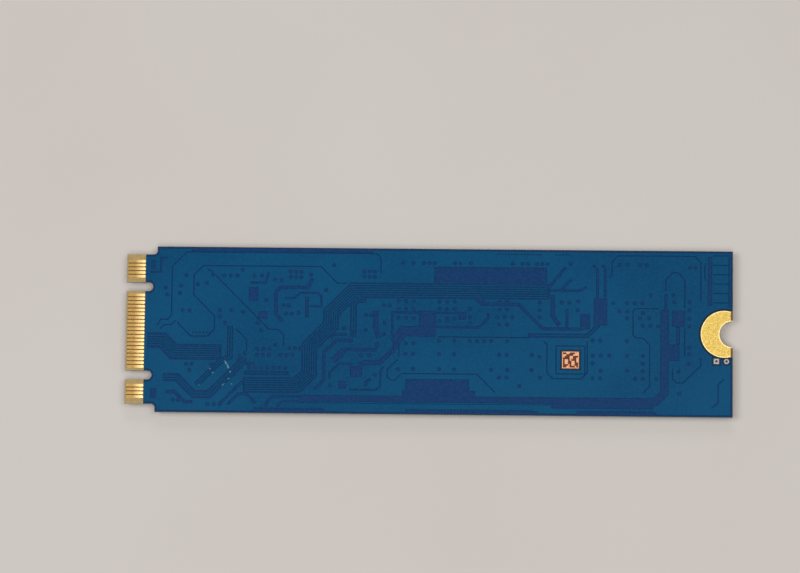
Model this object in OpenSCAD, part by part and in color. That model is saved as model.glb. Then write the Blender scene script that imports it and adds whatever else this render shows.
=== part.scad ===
// Gumstick solid state drive, 22 mm wide and 80 mm long, keyed B and M.
// It lies on the lids of its packages with the bare back of the board up.
// X runs from the connector to the screw notch, Y across the board and Z up.

/* [Board] */
// Length of the board from the tip of the tongue to the screw end
board_l = 80; // [80:0.5:110]
// Width of the board
board_w = 22; // [22:0.5:30]
// Thickness of the glass laminate core
core_t = 0.73; // [0.6:0.01:1.6]
// Thickness of the copper with its gold
copper_t = 0.035; // [0.02:0.005:0.07]
// Thickness of the solder mask over the copper and over bare laminate
mask_t = 0.025; // [0.015:0.005:0.04]
// Bare strip of laminate between the board's edge and the mask
mask_inset = 0.08; // [0.05:0.01:0.3]
// Strip along the board's edge that is kept free of copper
copper_inset = 0.3; // [0.2:0.05:0.6]

/* [Connector tongue] */
// Length of the tongue
tongue_l = 4; // [3.8:0.1:5]
// Width of the tongue
tongue_w = 19.85; // [19.7:0.05:20]
// Radius of the hollow corner beside the tongue
shoulder_r = 0.5; // [0.2:0.05:0.7]
// Width of a key notch
key_w = 1.2; // [1:0.05:1.3]
// Depth of a key notch
key_l = 3.5; // [3:0.1:3.7]
// Length of the bevel on the tip
bevel_l = 0.15; // [0.08:0.01:0.18]
// Depth of the bevel on each face
bevel_t = 0.1; // [0.05:0.01:0.2]
// Distance between neighbouring contacts on one face
contact_pitch = 0.5; // [0.5:0.005:0.51]
// Width of a contact
contact_w = 0.35; // [0.25:0.01:0.4]
// Distance from the tip to the contacts
contact_start = 0.2; // [0.19:0.01:0.5]
// Gap between the back contacts and the solder mask
contact_mask_gap = 0.03; // [0.02:0.01:0.3]
// Length of a contact on the component side
front_contact_l = 1.6; // [1.2:0.05:2.1]
// Distance from the tip to the solder mask
mask_start = 2.48; // [2.35:0.01:3]

/* [Screw notch] */
// Radius of the plated notch that the screw's shank enters
notch_r = 1.75; // [1.5:0.05:1.9]
// Thickness of the notch's plating
plating_t = 0.06; // [0.03:0.01:0.1]
// Radius of the gold pad around the notch
pad_r = 3.1; // [2.75:0.05:3.3]
// Distance from the screw end to the centre of the pad's arc
pad_inset = 1.1; // [0.8:0.05:1.2]
// Bare laminate between the pad and the screw end
pad_edge_gap = 0.28; // [0.1:0.02:0.4]
// Bare laminate between gold or copper and the mask around it
mask_gap = 0.14; // [0.05:0.01:0.2]

/* [Test eyelets] */
// Diameter of an eyelet's hole
eyelet_hole_d = 0.32; // [0.2:0.02:0.4]
// Width of an eyelet's land
eyelet_land_d = 0.68; // [0.6:0.02:0.8]
// Distance between the two eyelets
eyelet_pitch = 1.33; // [1.15:0.01:1.6]

/* [Code patch] */
// Side of the bare copper patch
code_side = 2.2; // [1.5:0.1:3]
// Number of cells along a side
code_cells = 9; // [5:1:12]
// Depth of a burned cell
code_depth = 0.015; // [0.005:0.005:0.02]

/* [Back circuit] */
// Width of the gap that separates two copper areas
gap_w = 0.18; // [0.15:0.01:0.24]
// Width of a signal trace
trace_w = 0.1; // [0.08:0.01:0.16]
// Distance between neighbouring traces
trace_pitch = 0.3; // [0.28:0.01:0.33]
// Diameter of the dimple over a filled via
via_d = 0.56; // [0.4:0.02:0.58]
// Diameter of the dimple over a small via
small_via_d = 0.28; // [0.2:0.02:0.36]

/* [Packages] */
// Length of a flash package
flash_l = 18; // [12:0.5:18.5]
// Width of a flash package
flash_w = 14; // [10:0.5:15]
// Thickness of a flash package
flash_t = 1; // [0.8:0.05:1.1]
// Side of the controller
controller_l = 12; // [8:0.5:12.5]
// Thickness of the controller
controller_t = 1; // [0.8:0.05:1.1]
// Length of the memory package along the board
memory_l = 7.5; // [6:0.5:8]
// Width of the memory package across the board
memory_w = 11; // [8:0.5:13]
// Thickness of the memory package
memory_t = 0.8; // [0.7:0.05:0.9]
// Gap between neighbouring packages
package_gap = 0.9; // [0.6:0.1:1]
// Distance from the screw end to the nearest flash package
flash_setback = 8.7; // [8.2:0.1:12]
// Bevel along the edges of a package's lid
package_chamfer = 0.08; // [0.02:0.01:0.15]

/* [Solder balls] */
// Height of a soldered ball
ball_h = 0.25; // [0.2:0.01:0.35]
// Diameter of a ball under a flash package
flash_ball_d = 0.46; // [0.4:0.02:0.6]
// Distance between balls under a flash package
flash_ball_pitch = 1; // [0.9:0.05:1.1]
// Diameter of a ball under the controller or the memory
fine_ball_d = 0.4; // [0.3:0.02:0.5]
// Distance between balls under the controller or the memory
fine_ball_pitch = 0.8; // [0.75:0.05:0.9]

/* [Power parts] */
// Side of a moulded inductor
inductor_side = 2.5; // [2:0.1:2.6]
// Height of a moulded inductor
inductor_h = 1; // [0.7:0.05:1.1]
// Side of the power chip
power_chip_side = 4; // [3:0.1:4]
// Height of the power chip
power_chip_h = 0.75; // [0.5:0.05:0.9]
// Side of the load switch
switch_side = 2; // [1.6:0.1:2.2]
// Height of the load switch
switch_h = 0.6; // [0.5:0.05:0.8]

/* [Small parts] */
// Length of a small capacitor or resistor
chip_l = 1; // [0.6:0.05:1.1]
// Width of a small capacitor or resistor
chip_w = 0.5; // [0.3:0.05:0.6]
// Height of a small capacitor
capacitor_h = 0.5; // [0.3:0.05:0.6]
// Height of a small resistor
resistor_h = 0.35; // [0.25:0.05:0.5]
// Length of a large capacitor
large_l = 2; // [1.6:0.1:2.1]
// Width of a large capacitor
large_w = 1.25; // [0.8:0.05:1.3]
// Height of a large capacitor
large_h = 0.85; // [0.6:0.05:1]
// Length of the metal cap on the end of a small capacitor or resistor
cap_l = 0.22; // [0.15:0.01:0.28]
// Length of the metal cap on the end of a large capacitor
large_cap_l = 0.4; // [0.25:0.05:0.5]
// Length of the crystal
crystal_l = 3.2; // [2.5:0.1:3.4]
// Width of the crystal
crystal_w = 2.5; // [2:0.1:2.6]
// Height of the crystal's ceramic base
crystal_base_h = 0.45; // [0.3:0.05:0.5]
// Height of the crystal's metal lid
crystal_lid_h = 0.25; // [0.15:0.05:0.3]

/* [Hidden] */

// Room that a cutting shape reaches past what it cuts
over = 1;

// Heights, from the table up
seat_h = ball_h + max(flash_t, controller_t);
skin_t = copper_t + mask_t;
core_z = seat_h + skin_t;
back_z = core_z + core_t;

// Places along and across the board
tip_x = -board_l / 2;
end_x = board_l / 2;
shoulder_x = tip_x + tongue_l;
side_y = board_w / 2;

// Contacts are numbered 1 to 75 across the tongue: even ones on the back, odd ones in front
middle_number = 38;
key_b_number = 15.5;
key_m_number = 62.5;
back_runs = [[2, 5], [20, 20], [68, 4]];
front_runs = [[1, 6], [21, 19], [67, 5]];
contact_chamfer = 0.08;

function contact_y(number) = (middle_number - number) * contact_pitch / 2;

// Places of the packages, counted back from the screw end
flash_y = -1;
far_flash_x = end_x - flash_setback - flash_l / 2;
near_flash_x = far_flash_x - flash_l - package_gap;
memory_x = near_flash_x - flash_l / 2 - package_gap - memory_l / 2;
controller_x = memory_x - memory_l / 2 - package_gap - controller_l / 2;

// The back's copper pattern is drawn for this board, and opens up from the middle on a larger one
drawn_l = 80;
drawn_w = 22;

// The place of a drawn point on this board
function place(p) = [
    p[0] + sign(p[0]) * (board_l - drawn_l) / 2,
    p[1] + sign(p[1]) * (board_w - drawn_w) / 2
];

function placed(path) = [for (p = path) place(p)];
function unit(v) = v / norm(v);
function left_of(v) = [-v[1], v[0]];

// Point i of a path moved sideways by d, with the corner mitred
function mitre(path, i, d) =
    let (
        last = len(path) - 1,
        into = unit(path[max(i, 1)] - path[max(i, 1) - 1]),
        out = unit(path[min(i, last - 1) + 1] - path[min(i, last - 1)])
    )
    path[i] + d * (left_of(into) + left_of(out)) / (1 + into * out);

function shifted(path, d) = [for (i = [0 : len(path) - 1]) mitre(path, i, d)];

// Outline of a strip of width w along a path
function strip(path, w) = concat(
    shifted(path, -w / 2),
    [for (i = [len(path) - 1 : -1 : 0]) mitre(path, i, w / 2)]
);

// A path with t taken off each end
function trimmed(path, t) =
    let (last = len(path) - 1)
    [for (i = [0 : last])
        i == 0 ? path[0] + t * unit(path[1] - path[0])
        : i == last ? path[last] + t * unit(path[last - 1] - path[last])
        : path[i]];

// Thin gaps between copper areas, from the connector to the screw end
thin_gaps = [
    [[-35.9, 0.5], [-35.4, 1.3], [-34.5, 1.3], [-34, 1.9], [-34, 8.4], [-32.1, 10.3],
        [-7, 10.3], [-6.4, 9.7], [-6.4, 7.6]],
    [[-35.5, 0], [-34.9, 0.6], [-34, 0.6], [-33.4, 1.2]],
    [[-33.2, 0.9], [-31.4, -0.9], [-29.2, -0.9], [-28.3, 0], [-28.3, 1.8], [-31.1, 4.6],
        [-31.1, 7.3], [-29.9, 8.5], [-14.3, 8.5], [-12.1, 6.3], [-10.8, 6.3]],
    [[-29.3, 7.9], [-28.9, 7.9], [-21.1, 0.1], [-19.9, 0.1], [-19.1, -0.7], [-19.1, -2]],
    [[-25.4, 0.1], [-24, -1.3], [-24, -2.7]],
    [[-3.9, -3.4], [-3.9, -1.6], [-3.4, -1.1]],
    [[1.2, -0.7], [13.3, -0.7]],
    [[-4, -3.7], [-5.4, -5.1], [-5.4, -6], [-4.9, -6.5], [-4.4, -6.5], [-3.5, -5.6], [6.4, -5.6],
        [8.8, -8]],
    [[15.1, -1.1], [15.6, -1.6], [15.6, -5.3], [16.4, -6.1], [20.1, -6.1], [20.9, -5.3], [20.9, -1.1]],
    [[30.2, 3.3], [27.2, 3.3], [26.9, 3], [26.9, -0.2], [27.3, -0.6], [28.2, -0.6], [29.1, -1.5],
        [29.1, -7], [28.2, -7.9]],
    [[23.7, 7.4], [24.1, 7.8], [24.1, 9.5], [24.9, 10.3], [35, 10.3], [35.8, 9.5], [35.8, 4.3]],
    [[35.8, -3.2], [35.8, -4.2], [33.5, -6.5], [32.6, -6.5], [32.1, -6], [32.1, -4.6]],
    [[31.2, 5.6], [31.2, 7.2], [32.1, 8.1], [32.8, 8.1], [33.7, 7.2], [33.7, 3.4]],
    [[33.7, 0.7], [33.7, -2.9]],
    [[36.5, 9.4], [36.3, 8.9], [36.3, 7.4], [36.6, 7.1]],
    [[39.5, 10.2], [39.5, 3.6]],
    [[38.9, -5.9], [38.1, -6.7], [38.1, -9.1], [37.2, -9.8]]
];

// Routes where the copper is left out, with the width of each
wide_gaps = [
    [2.1, [[-24.4, -7.3], [-17.3, -7.3], [-15.7, -5.7], [-15.7, -2.1], [-12.9, 0.7], [-12.9, 2.4],
        [-9.9, 5.4], [15.9, 5.4]]],
    [2.1, [[-37.1, -1.5], [-35.1, -1.5], [-33.6, -3], [-27.3, -3]]],
    [1.1, [[-35, -6.4], [-33.1, -6.4], [-30.9, -8.6], [-28.9, -8.6], [-24.9, -4.6], [-24.4, -3.6]]],
    [0.8, [[-30.6, -7.4], [-27.4, -4.2], [-26.2, -3.6], [-26.2, 0.5]]],
    [0.35, [[-21.3, -10.1], [-21.3, -9.6], [-20.5, -8.8], [-15.6, -8.8]]],
    [0.35, [[-19.9, -10.1], [-19.2, -9.4], [-16.6, -9.4]]],
    [0.6, [[-24.2, -5.7], [-18.4, -5.7]]],
    [0.4, [[-27.3, -9.7], [-24.4, -6.8]]],
    [0.4, [[-26.4, -9.9], [-25, -8.5], [-23.9, -8.5], [-22.7, -9.7]]],
    [0.5, [[-34.6, -8.3], [-33.4, -8.3], [-32.1, -9.6], [-31, -9.6]]],
    [0.4, [[-25.1, -3.3], [-23.9, -4.5], [-22.9, -4.5]]],
    [0.5, [[-15.4, 6.9], [-16, 5.7], [-19.6, 5.7], [-20.2, 5.1], [-20.2, 2.2], [-19.3, 1.1]]],
    [0.3, [[-19, 4.3], [-17.8, 4.3], [-17, 5], [-14.7, 5], [-14.2, 4.5], [-14.2, 3.2], [-15.8, 3.2]]],
    [0.5, [[-16.1, 4.5], [-16.1, 1.7]]],
    [0.35, [[-23.6, 6.3], [-21.6, 6.3], [-21.2, 7.7]]],
    [1.3, [[-23.2, 5.7], [-23.2, 3.8]]],
    [0.9, [[-9.1, 4.6], [-9.95, 3.6], [-9.95, -0.8]]],
    [0.45, [[-9.95, -1.3], [-12.2, -1.3], [-13.8, -2.9], [-13.8, -6.6], [-15, -7.8]]],
    [0.4, [[-10.8, -0.5], [-12.4, -0.5], [-12.9, -1]]],
    [0.7, [[-7, 2.7], [-7, 0.4], [-6.6, -0.9]]],
    [0.45, [[-11.2, -2.5], [-7, -2.5], [-6.7, -1.5]]],
    [0.9, [[-12.6, -4], [-11.1, -2.6]]],
    [0.35, [[-13, -6.4], [-13, -5.6], [-11.8, -4.4], [-9.9, -4.4]]],
    [0.3, [[-10.4, -7.8], [-6.8, -7.8], [-6.3, -7.3], [-6.3, -5.3], [-5.9, -4.7]]],
    [0.45, [[-8.2, -7.4], [-8.2, -6.8], [-7.6, -6.3]]],
    [1.1, [[-11.8, -7.2], [-10.8, -7.2]]],
    [1.4, [[-0.2, 0], [-3.4, 0], [-4.5, -1.5]]],
    [0.65, [[-4.4, -1.2], [-4.4, -2.2], [-6.4, -4.2], [-8.4, -4.2], [-9.2, -4.7]]],
    [0.35, [[-1.2, 2.5], [-4.8, 2.5], [-4.8, -0.7]]],
    [0.35, [[0.7, 0.6], [6.6, 0.6], [7.8, 1.8], [7.8, 2.5]]],
    [0.3, [[0.7, 2.5], [4.2, 2.5]]],
    [0.45, [[6.1, 4.5], [6.9, 3.7], [11.8, 3.7], [15, 0.5], [20.3, 0.5]]],
    [0.6, [[13.1, -0.4], [20.9, -0.4], [22.4, 1.1]]],
    [0.4, [[22.2, 4.5], [22.2, 8.4], [21.6, 9]]],
    [0.4, [[23.2, 4.5], [23.2, 8.6], [22.8, 9]]],
    [0.45, [[15.7, 5.9], [18, 8.7]]],
    [0.35, [[15.9, 5.6], [19.8, 5.6], [20.8, 6.1]]],
    [0.35, [[17.4, 5.7], [18.8, 7.1]]],
    [0.6, [[16.3, 5], [16.3, 2.2], [17.2, 1]]],
    [0.4, [[18.2, 3.2], [18.2, 0.6]]],
    [1.1, [[-16.9, -9.1], [29.8, -9.1], [31.05, -7.85], [31.05, 3.2]]],
    [0.5, [[16.2, -9.8], [29.6, -9.8]]],
    [0.4, [[31.2, 3], [31.2, 5.3]]],
    [0.5, [[32.8, 0.9], [32.8, -1.4]]],
    [0.6, [[37, 10.3], [37, 3.7]]],
    [0.45, [[-31.5, 10.6], [-7.5, 10.6]]],
    [0.35, [[-23, -10.6], [-13.5, -10.6]]],
    [0.35, [[-3, -10.6], [14.5, -10.6]]],
    [0.35, [[19.5, -10.6], [30, -10.6]]],
    [0.3, [[-36.9, 7.6], [-35.5, 7.6], [-35.5, 9.5], [-34.6, 9.5]]]
];

// Patches where the copper is left out: centre and size of each
bare_patches = [
    [[8.1, 7.4], [14.9, 2.5]],
    [[1.2, -7.1], [8.4, 1.6]],
    [[1.4, -8.4], [9.6, 1.2]],
    [[-0.2, 1], [2.2, 3.5]],
    [[22.6, 2.8], [1.8, 3.6]],
    [[20.6, 1.5], [1.3, 2.1]],
    [[32.2, -2.5], [1.6, 2.2]],
    [[32.9, 2], [1.7, 2.2]],
    [[-9.5, -5.4], [1.6, 1.4]],
    [[4.4, 2.1], [1, 1]],
    [[-21.9, 2], [1.2, 1]],
    [[-8.7, 4.2], [0.9, 1]],
    [[-36.5, 8.6], [0.6, 1.2]],
    [[-36.2, -8.5], [0.8, 1.3]]
];

// Traces that cross the bare routes, with the number of each
trace_bundles = [
    [6, [[-24.2, -7.3], [-17.3, -7.3], [-15.7, -5.7], [-15.7, -2.1], [-12.9, 0.7], [-12.9, 2.4],
        [-9.9, 5.4], [15.6, 5.4]]],
    [5, [[-37, -1.5], [-35.1, -1.5], [-33.6, -3], [-27.5, -3]]],
    [2, [[-35.1, -6.4], [-33.1, -6.4], [-30.9, -8.6], [-28.9, -8.6], [-24.9, -4.6], [-24.35, -3.5]]],
    [2, [[-30.7, -7.5], [-27.4, -4.2], [-26.2, -3.6], [-26.2, 0.3]]],
    [1, [[-24, -5.7], [-18.6, -5.7]]],
    [2, [[-9.1, 4.6], [-9.95, 3.6], [-9.95, -0.9]]],
    [1, [[13.9, -0.4], [20.9, -0.4], [22.4, 1.1]]],
    [1, [[-16.5, -9.5], [15.5, -9.5]]]
];

// Rows of vias: first place, number and distance
via_rows = [
    [[-4, 4], 3, 1], [[1.4, 4], 3, 1], [[7.2, 4], 1, 1], [[9.3, 4], 2, 1],
    [[-4, 3], 3, 1], [[1.4, 3], 3, 1], [[5.4, 3], 1, 1], [[9.3, 3], 2, 1],
    [[-4, 1.8], 3, 1], [[2.4, 1.7], 2, 1], [[5.4, 1.9], 1, 1], [[9, 2], 3, 1],
    [[5.4, 1.2], 1, 1], [[9.3, 1], 2, 1], [[1.4, 1.4], 2, 1],
    [[-3, -1.6], 2, 1], [[1.4, -1.2], 3, 2], [[6.4, -1.2], 3, 0.9], [[10.4, -1.2], 1, 1],
    [[-3, -3], 2, 1], [[1.4, -3], 2, 2], [[9.3, -3], 2, 1], [[13.6, -3], 1, 1],
    [[-4, -5], 2, 2], [[1.4, -5], 2, 2], [[8.3, -5], 2, 2.1], [[13.6, -5], 1, 1],
    [[9.3, -6], 2, 1], [[14.7, -6], 1, 1], [[12, -7.1], 1, 1],
    [[14.6, 4], 1, 1], [[17.5, 4], 2, 1], [[19.7, 4.2], 1, 1], [[24.3, 4], 1, 1], [[26.1, 4], 3, 1],
    [[14.6, 3], 1, 1], [[19.6, 3], 1, 1], [[25.1, 2.9], 2, 1], [[28.2, 2.7], 1, 1],
    [[14.6, 2], 1, 1], [[26.1, 2], 1, 1], [[27.8, 2], 2, 1.2], [[28.2, 1], 3, 1],
    [[21.6, -1], 2, 1], [[26.1, -1], 1, 1], [[21.6, -3], 3, 1.1], [[26.1, -3], 2, 2.1],
    [[21.6, -4], 1, 1], [[28.2, -4], 1, 1], [[22.7, -5], 1, 1], [[26.1, -5], 2, 2.1],
    [[21.6, -6], 2, 1], [[27.2, -6], 2, 1], [[30, -6], 1, 1], [[14.6, -3.2], 1, 1],
    [[-3.5, 9.1], 2, 1.4], [[-0.7, 9.1], 3, 0.7], [[3.4, 9.1], 2, 0.7], [[5.5, 9.1], 1, 1],
    [[11, 9.1], 1, 1], [[12.3, 9.1], 2, 0.7], [[14.2, 9.1], 3, 0.7], [[18.6, 9.2], 1, 1],
    [[25.1, 9.1], 2, 1], [[27.8, 9.1], 2, 0.9], [[29.2, 5.1], 1, 1],
    [[34.4, 8.8], 2, 0.7], [[34.3, 4.2], 1, 1], [[34.3, 3.1], 1, 1], [[34.3, 2], 1, 1],
    [[34.3, 1], 1, 1], [[34.3, -1.8], 1, 1], [[34.3, -2.7], 1, 1], [[34.2, -4], 1, 1],
    [[32.2, 5.1], 1, 1], [[32.3, 4.2], 1, 1], [[33, -7.9], 1, 1], [[32.9, -5], 1, 1],
    [[-8.6, 7.9], 3, 0.7], [[-8.6, 7.2], 3, 0.7], [[-12.6, 8.7], 1, 1], [[-13.6, 5.4], 1, 1],
    [[-28.6, 7.3], 1, 1], [[-27.1, 7.2], 3, 0.85], [[-24.7, 8], 1, 1], [[-23.1, 7.2], 2, 1],
    [[-20.4, 6.7], 2, 0.9], [[-18.3, 7.8], 3, 0.7], [[-18.3, 7.1], 3, 0.7], [[-15.6, 7.4], 1, 1],
    [[-27.6, 2.6], 2, 1.5], [[-27.6, 1.7], 1, 1], [[-24.5, 2.4], 1, 1], [[-21.5, 4], 1, 1],
    [[-19.2, 3.3], 2, 0.7], [[-18.8, 2.2], 2, 0.7], [[-17.2, 2.3], 1, 1], [[-22.1, -0.1], 1, 1],
    [[-22.6, -2.5], 3, 0.8], [[-22.6, -3.3], 3, 0.8], [[-20.2, -2], 1, 1], [[-18.3, -2.4], 3, 0.7],
    [[-19.5, -3.3], 3, 0.8], [[-24.2, -3.1], 1, 1], [[-23.6, -5], 7, 0.8], [[-29, -9.9], 3, 0.8],
    [[-33.6, -9.4], 2, 0.7], [[-25.6, -5.9], 1, 1], [[-22.6, 0.9], 1, 1], [[-26.9, 0.9], 1, 1],
    [[-34.8, 5.5], 1, 1], [[-34.6, 4.6], 1, 1], [[-32.8, 5.8], 1, 1], [[-32.9, 4.8], 1, 1],
    [[-32.1, 7.2], 1, 1], [[-30.6, 6], 1, 1], [[-29.4, 6.2], 1, 1], [[-32.5, 2.5], 2, 0.9],
    [[-31.9, -4.6], 2, 0.7], [[-31.5, -5.4], 1, 1], [[-28.6, -4.6], 1, 1],
    [[-11.8, 2], 1, 1], [[-11.2, 0.3], 1, 1], [[-8.3, 2.1], 2, 0.7], [[-8.3, 0.1], 1, 1],
    [[-5.9, 3.4], 2, 0.7], [[-5.8, 1.1], 1, 1], [[-5.9, -0.4], 1, 1], [[-8.9, -3.2], 2, 1.1],
    [[-7, -5.8], 1, 1], [[-12.9, -7.3], 1, 1]
];

// Rows of small vias, most of them along the edges of the copper
small_via_rows = [
    [[-31.1, -0.4], 6, 0.45], [[-31.2, 10.36], 55, 0.42], [[9.2, 10.36], 14, 0.42],
    [[16.8, 10.36], 5, 0.42], [[-22.8, -10.36], 22, 0.42], [[-2.8, -10.36], 40, 0.42],
    [[19.7, -10.36], 24, 0.42]
];

// The six test lands under the mask beside the screw pad
comb_lands = 6;
comb_pitch = 1.25;
comb_x = 38.5;
comb_top_y = 10.4;
comb_l = 2.2;

// Place of the code patch, and of the frame line around it
code_place = [18.7, -3.6];
code_frame = [3.8, 3.7];
code_cell_fill = 1.08;

// Dot that marks the first corner of a package
mark_d = 0.8;
mark_depth = 0.04;
mark_inset = 1;

// Ball grids: columns along the board, rows across it, and empty columns in the middle
flash_columns = 15;
flash_rows = 11;
flash_empty = 3;
controller_columns = 14;
memory_columns = 9;
memory_rows = 13;
memory_empty = 3;

// Pads of the leadless chips
lead_l = 0.4;
lead_w = 0.25;
lead_h = 0.2;
lead_pitch = 0.5;
power_chip_leads = 6;
switch_leads = 3;

// Plates and corners of the inductors
plate_l = 0.55;
plate_h = 0.12;
inductor_corner = 0.3;

// Ceramic rim around the crystal's lid
crystal_rim = 0.15;

// Solder that stands out around the cap of a small part
land_margin = 0.1;

// Edges of the packages, which the small parts keep clear of
flash_top_y = flash_y + flash_w / 2;
flash_bottom_y = flash_y - flash_w / 2;
controller_left_x = controller_x - controller_l / 2;
controller_top_y = controller_l / 2;
far_flash_end_x = far_flash_x + flash_l / 2;
part_gap = 1.1;
row_gap = 1.3;

// Places of the power parts, by the connector and by the screw end
power_chip_place = [controller_left_x - 2 * part_gap - inductor_side - power_chip_side / 2, 6.7];
inductor_places = [
    [controller_left_x - part_gap / 2 - inductor_side / 2, 9],
    [controller_left_x - part_gap / 2 - inductor_side / 2, 5.6],
    [far_flash_end_x + part_gap + inductor_side / 2, 8.6]
];
switch_place = [far_flash_end_x + part_gap + switch_side / 2, 5.2];
crystal_place = [controller_left_x - part_gap - crystal_l / 2, -8.2];

// Rows of small capacitors, of resistors and of large capacitors
along = [1, 0];
across = [0, 1];
capacitor_rows = [
    [[near_flash_x - 7.5, flash_top_y + part_gap], 7, 2.5 * along, 0],
    [[far_flash_x - 7.5, flash_top_y + part_gap], 7, 2.5 * along, 0],
    [[near_flash_x - 6.8, flash_bottom_y - part_gap], 5, 3.4 * along, 0],
    [[far_flash_x - 6.8, flash_bottom_y - part_gap], 5, 3.4 * along, 0],
    [[controller_x - 5, controller_top_y + part_gap], 6, 2 * along, 90],
    [[controller_x - 5, -controller_top_y - part_gap], 6, 2 * along, 90],
    [[controller_left_x - part_gap, -4.5], 5, 1.8 * across, 0],
    [[memory_x - 2.4, memory_w / 2 + part_gap], 3, 2.4 * along, 0],
    [[memory_x - 2.4, -memory_w / 2 - part_gap], 3, 2.4 * along, 0]
];
resistor_rows = [
    [[near_flash_x - 6, flash_top_y + part_gap + row_gap], 4, 3.5 * along, 0],
    [[far_flash_x - 6, flash_top_y + part_gap + row_gap], 4, 3.5 * along, 0],
    [[controller_x - 4.8, -controller_top_y - part_gap - row_gap], 5, 2.4 * along, 0],
    [[controller_left_x - part_gap - row_gap - chip_l, -4.5], 5, 1.8 * across, 0],
    [[shoulder_x + 1.5, -8], 3, 1.5 * across, 90]
];
large_rows = [
    [[shoulder_x + 1.9, 3.2], 4, -1.7 * across, 0],
    [[far_flash_end_x + part_gap + large_l / 2, -6], 3, -1.9 * across, 0]
];

// The eyelets lie beside the screw pad
eyelet_x = end_x - 2.14;
eyelet_y = -pad_r - 0.5;
eyelet_wall = 0.04;

// Outline of the board, drawn inset from its real edge
module board_outline(inset) {
    difference() {
        union() {
            translate([shoulder_x + inset, -side_y + inset])
                square([board_l - tongue_l - 2 * inset, board_w - 2 * inset]);
            translate([tip_x + inset, -tongue_w / 2 + inset])
                square([tongue_l + over, tongue_w - 2 * inset]);
            translate([shoulder_x - shoulder_r, -tongue_w / 2 - shoulder_r])
                square([shoulder_r + over, tongue_w + 2 * shoulder_r]);
        }
        for (side = [-1, 1])
            translate([shoulder_x - shoulder_r, side * (tongue_w / 2 + shoulder_r)])
                circle(r = shoulder_r + inset, $fn = 32);
        for (number = [key_b_number, key_m_number])
            key_notch(contact_y(number), inset);
        translate([end_x, 0])
            circle(r = notch_r + plating_t + inset, $fn = 96);
    }
}

module key_notch(y, inset) {
    translate([tip_x - over, y - key_w / 2 - inset])
        square([over + key_l - key_w / 2, key_w + 2 * inset]);
    translate([tip_x + key_l - key_w / 2, y])
        circle(r = key_w / 2 + inset, $fn = 48);
}

// The part of the tongue that no mask covers
module bare_tongue() {
    translate([tip_x - over, -side_y])
        square([over + mask_start, board_w]);
}

// Half-moon around the screw notch, out to a place along the board
module half_moon(r, reach_x) {
    difference() {
        intersection() {
            translate([end_x - pad_inset, 0])
                circle(r = r, $fn = 96);
            translate([end_x - pad_inset - pad_r - over, -side_y])
                square([pad_r + pad_inset + over + reach_x - end_x, board_w]);
        }
        translate([end_x, 0])
            circle(r = notch_r, $fn = 96);
    }
}

// The plating on the notch's wall
module notch_ring() {
    difference() {
        translate([end_x, 0])
            circle(r = notch_r + plating_t, $fn = 96);
        translate([end_x, 0])
            circle(r = notch_r, $fn = 96);
        translate([end_x, -side_y])
            square([notch_r + over, board_w]);
    }
}

// The round and the square eyelet land, grown by a margin
module eyelet_lands(margin) {
    translate([eyelet_x, eyelet_y])
        square(eyelet_land_d + 2 * margin, center = true);
    translate([eyelet_x + eyelet_pitch, eyelet_y])
        circle(d = eyelet_land_d + 2 * margin, $fn = 32);
}

module eyelet_holes(d) {
    for (i = [0, 1])
        translate([eyelet_x + i * eyelet_pitch, eyelet_y])
            circle(d = d, $fn = 32);
}

module code_square(margin) {
    translate(place(code_place))
        square(code_side + 2 * margin, center = true);
}

// What stays free of copper on the back, narrowed where the mask flows over the copper's edge
module bare_back(narrow) {
    for (path = thin_gaps)
        polygon(strip(trimmed(placed(path), narrow / 2), gap_w - narrow));
    for (gap = wide_gaps)
        polygon(strip(trimmed(placed(gap[1]), narrow / 2), gap[0] - narrow));
    for (patch = bare_patches)
        translate(place(patch[0]))
            square([patch[1][0] - narrow, patch[1][1] - narrow], center = true);
    comb_gaps(comb_l - narrow, gap_w - narrow);
    code_frame_line(gap_w - narrow);
    vias(via_rows, via_d - narrow);
    vias(small_via_rows, small_via_d - narrow);
}

module comb_gaps(l, w) {
    for (i = [0 : comb_lands])
        translate(place([comb_x, comb_top_y - i * comb_pitch]))
            square([l, w], center = true);
}

module code_frame_line(w) {
    translate(place(code_place))
        difference() {
            square([code_frame[0] + w, code_frame[1] + w], center = true);
            square([code_frame[0] - w, code_frame[1] - w], center = true);
        }
}

module vias(rows, d) {
    for (row = rows)
        for (i = [0 : row[1] - 1])
            translate(place(row[0]) + [i * row[2], 0])
                circle(d = d, $fn = 16);
}

// Each run's traces lie side by side, grown by the mask on them
module traces(grow) {
    for (run = trace_bundles)
        for (i = [0 : run[0] - 1]) {
            sideways = (i - (run[0] - 1) / 2) * trace_pitch;
            polygon(strip(trimmed(shifted(placed(run[1]), sideways), -grow / 2), trace_w + grow));
        }
}

// Openings that both masks have, grown by a margin
module gold_openings(margin) {
    half_moon(pad_r + margin, end_x + over);
    eyelet_lands(margin);
}

module back_openings(margin) {
    gold_openings(margin);
    code_square(margin);
}

// Where the back may hold copper
module copper_field(inset, margin) {
    difference() {
        board_outline(inset);
        bare_tongue();
        back_openings(margin);
    }
}

// Etched copper of the back, without the gold places
module back_pattern() {
    difference() {
        copper_field(copper_inset, 2 * mask_gap);
        difference() {
            bare_back(0);
            traces(0);
        }
    }
}

module back_copper() {
    color("peru")
        translate([0, 0, back_z])
            linear_extrude(copper_t)
                back_pattern();
}

// The back mask lies low on bare laminate and stands over the copper
module back_solder_mask() {
    color("steelblue")
        difference() {
            union() {
                translate([0, 0, back_z])
                    linear_extrude(mask_t)
                        difference() {
                            board_outline(mask_inset);
                            bare_tongue();
                            back_openings(mask_gap);
                        }
                translate([0, 0, back_z])
                    linear_extrude(skin_t)
                        mask_plateau();
            }
            back_copper();
        }
}

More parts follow.
